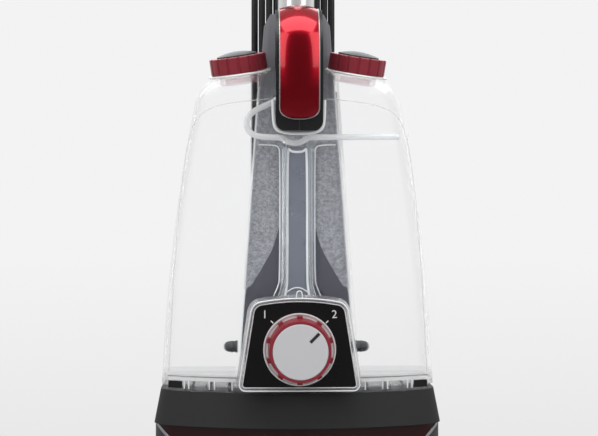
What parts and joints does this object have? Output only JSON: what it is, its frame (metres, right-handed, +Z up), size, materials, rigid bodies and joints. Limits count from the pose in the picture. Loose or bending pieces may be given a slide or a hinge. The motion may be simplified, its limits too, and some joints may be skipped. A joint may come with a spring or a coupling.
{
  "type": "upright carpet cleaner",
  "caption": "Upright carpet cleaner with clear lift-off water tank, red screw caps, selector dial, spin brushes, clear suction nozzle, reclining handle and wound cord.",
  "frame": {"origin": "on the floor, in the middle of the footprint", "axes": "+Z up, the nozzle faces -Y, +X to the right seen from in front"},
  "size_m": [0.309, 0.43, 1.1196],
  "materials": {
    "black_plastic": "fine satin",
    "grey_plastic": "grained",
    "dark_grey": "satin",
    "clear_plastic": "clear, polished",
    "smoke_plastic": "smoke tinted, polished",
    "red_gloss": "metallic gloss",
    "red_satin": "satin",
    "silver_plastic": "metallic satin",
    "chrome_tube": "polished",
    "steel": "turned",
    "rubber": "matt",
    "tyre": "grooved",
    "bristle": "nylon",
    "white_plastic": "satin"
  },
  "bodies": {
    "base": {"base_pan": "black_plastic", "base_hood": "dark_grey", "nozzle_duct": "clear_plastic", "nozzle_lip": "black_plastic", "brush_block": "dark_grey", "drive_belt": "rubber", "brush_motor": "steel", "suction_motor": "steel", "fan_housing": "grey_plastic", "solution_pump": "white_plastic", "spray_bar": "white_plastic", "rear_axle": "steel"},
    "wheel_left": {"wheel_left": "grey_plastic", "tyre_left": "tyre"},
    "wheel_right": {"wheel_right": "grey_plastic", "tyre_right": "tyre"},
    "brush_1": {"spin_brush_1": "bristle"},
    "brush_2": {"spin_brush_2": "bristle"},
    "brush_3": {"spin_brush_3": "bristle"},
    "brush_4": {"spin_brush_4": "bristle"},
    "brush_5": {"spin_brush_5": "bristle"},
    "pinion": {"drive_pinion": "white_plastic"},
    "pulley": {"motor_pulley": "steel"},
    "fan": {"fan_impeller": "grey_plastic"},
    "pedal": {"release_pedal": "dark_grey"},
    "recovery": {"recovery_tank": "smoke_plastic", "recovery_lid": "smoke_plastic"},
    "float": {"recovery_float": "white_plastic"},
    "bail": {"recovery_bail": "black_plastic"},
    "upright": {"tank_seat": "black_plastic", "lower_housing": "grey_plastic", "front_panel": "red_gloss", "side_trim": "silver_plastic", "spine_front": "grey_plastic", "spine_back": "grey_plastic", "handle_tube": "chrome_tube", "handle_left": "black_plastic", "handle_right": "black_plastic", "power_cord": "rubber", "cord_gland": "rubber", "power_plug": "rubber"},
    "hook": {"cord_hook": "black_plastic"},
    "trigger": {"trigger": "red_satin"},
    "switch": {"power_switch": "red_satin"},
    "clean_tank": {"clean_tank": "clear_plastic", "inner_tube": "clear_plastic", "outlet_valve": "black_plastic", "outlet_filters": "dark_grey", "dial_bezel": "clear_plastic", "dial_plate": "black_plastic", "dial_dish": "silver_plastic", "selector_valve": "white_plastic", "handle_frame": "black_plastic", "handle_panel": "red_gloss"},
    "dial": {"knob_ring": "red_satin", "knob_face": "silver_plastic"},
    "cap_disc_left": {"cap_disc_left": "dark_grey"},
    "cap_ring_left": {"cap_ring_left": "red_satin"},
    "cap_disc_right": {"cap_disc_right": "dark_grey"},
    "cap_ring_right": {"cap_ring_right": "red_satin"}
  },
  "joints": [
    {"name": "recline", "type": "hinge", "parent": "base", "child": "upright", "pos_m": [0, 0.135, 0.08], "axis": [-1, 0, 0], "range_deg": [0, 48]},
    {"name": "wheel_left_spin", "type": "hinge", "parent": "base", "child": "wheel_left", "pos_m": [-0.133, 0.135, 0.08], "axis": [1, 0, 0], "continuous": true},
    {"name": "wheel_right_spin", "type": "hinge", "parent": "base", "child": "wheel_right", "pos_m": [0.133, 0.135, 0.08], "axis": [1, 0, 0], "continuous": true},
    {"name": "brush_3_spin", "type": "hinge", "parent": "base", "child": "brush_3", "pos_m": [0, -0.135, 0.041], "axis": [0, 0, 1], "continuous": true},
    {"name": "brush_1_spin", "type": "hinge", "parent": "base", "child": "brush_1", "pos_m": [-0.112, -0.135, 0.041], "axis": [0, 0, 1], "continuous": true},
    {"name": "brush_2_spin", "type": "hinge", "parent": "base", "child": "brush_2", "pos_m": [-0.056, -0.135, 0.041], "axis": [0, 0, 1], "continuous": true},
    {"name": "brush_4_spin", "type": "hinge", "parent": "base", "child": "brush_4", "pos_m": [0.056, -0.135, 0.041], "axis": [0, 0, 1], "continuous": true},
    {"name": "brush_5_spin", "type": "hinge", "parent": "base", "child": "brush_5", "pos_m": [0.112, -0.135, 0.041], "axis": [0, 0, 1], "continuous": true},
    {"name": "pinion_spin", "type": "hinge", "parent": "base", "child": "pinion", "pos_m": [0, -0.086, 0.041], "axis": [0, 0, 1], "continuous": true},
    {"name": "pulley_spin", "type": "hinge", "parent": "base", "child": "pulley", "pos_m": [-0.055, -0.022, 0.05], "axis": [0, 0, 1], "continuous": true},
    {"name": "fan_spin", "type": "hinge", "parent": "base", "child": "fan", "pos_m": [0.09, 0.008, 0.08], "axis": [1, 0, 0], "continuous": true},
    {"name": "pedal_press", "type": "hinge", "parent": "base", "child": "pedal", "pos_m": [0.062, 0.198, 0.032], "axis": [-1, 0, 0], "range_deg": [0, 12], "stiffness_Nm_per_rad": 0.6, "springref_deg": -14.32},
    {"name": "recovery_lift", "type": "slide", "parent": "base", "child": "recovery", "axis": [0, 0, 1], "range_m": [0, 0.13]},
    {"name": "float_rise", "type": "slide", "parent": "recovery", "child": "float", "axis": [0, 0, 1], "range_m": [0, 0.03]},
    {"name": "bail_swing", "type": "hinge", "parent": "recovery", "child": "bail", "pos_m": [0, -0.113, 0.165], "axis": [1, 0, 0], "range_deg": [0, 60]},
    {"name": "tank_lift", "type": "slide", "parent": "upright", "child": "clean_tank", "axis": [0, -0.5, 0.866], "range_m": [0, 0.16]},
    {"name": "dial_turn", "type": "hinge", "parent": "clean_tank", "child": "dial", "pos_m": [0, -0.03, 0.3455], "axis": [0, -1, 0], "range_deg": [0, 90]},
    {"name": "cap_left_rise", "type": "slide", "parent": "clean_tank", "child": "cap_disc_left", "axis": [-0.1445, -0.1529, 0.9776], "range_m": [0, 0.004]},
    {"name": "cap_left_turn", "type": "hinge", "parent": "cap_disc_left", "child": "cap_ring_left", "pos_m": [-0.0577, 0.038, 0.615], "axis": [-0.1445, -0.1529, 0.9776], "range_deg": [-5, 370]},
    {"name": "cap_right_rise", "type": "slide", "parent": "clean_tank", "child": "cap_disc_right", "axis": [0.1445, -0.1529, 0.9776], "range_m": [0, 0.004]},
    {"name": "cap_right_turn", "type": "hinge", "parent": "cap_disc_right", "child": "cap_ring_right", "pos_m": [0.0577, 0.038, 0.615], "axis": [0.1445, -0.1529, 0.9776], "range_deg": [-5, 370]},
    {"name": "trigger_pull", "type": "hinge", "parent": "upright", "child": "trigger", "pos_m": [0, 0.119, 1.101], "axis": [1, 0, 0], "range_deg": [0, 9], "stiffness_Nm_per_rad": 0.06, "springref_deg": -5.73},
    {"name": "switch_rock", "type": "hinge", "parent": "upright", "child": "switch", "pos_m": [0, 0.077, 0.93], "axis": [1, 0, 0], "range_deg": [0, 10]},
    {"name": "cord_hook_turn", "type": "hinge", "parent": "upright", "child": "hook", "pos_m": [0, 0.121, 0.906], "axis": [0, 1, 0], "range_deg": [0, 180]}
  ],
  "couplings": [
    {"joint": "brush_1_spin", "follows": "brush_3_spin", "ratio": 1},
    {"joint": "brush_2_spin", "follows": "brush_3_spin", "ratio": -1},
    {"joint": "brush_4_spin", "follows": "brush_3_spin", "ratio": -1},
    {"joint": "brush_5_spin", "follows": "brush_3_spin", "ratio": 1},
    {"joint": "pinion_spin", "follows": "brush_3_spin", "ratio": -1.3333},
    {"joint": "pulley_spin", "follows": "brush_3_spin", "ratio": -1.3333},
    {"joint": "cap_left_turn", "follows": "cap_left_rise", "rad_per_m": 1570.8},
    {"joint": "cap_right_turn", "follows": "cap_right_rise", "rad_per_m": 1570.8}
  ]
}
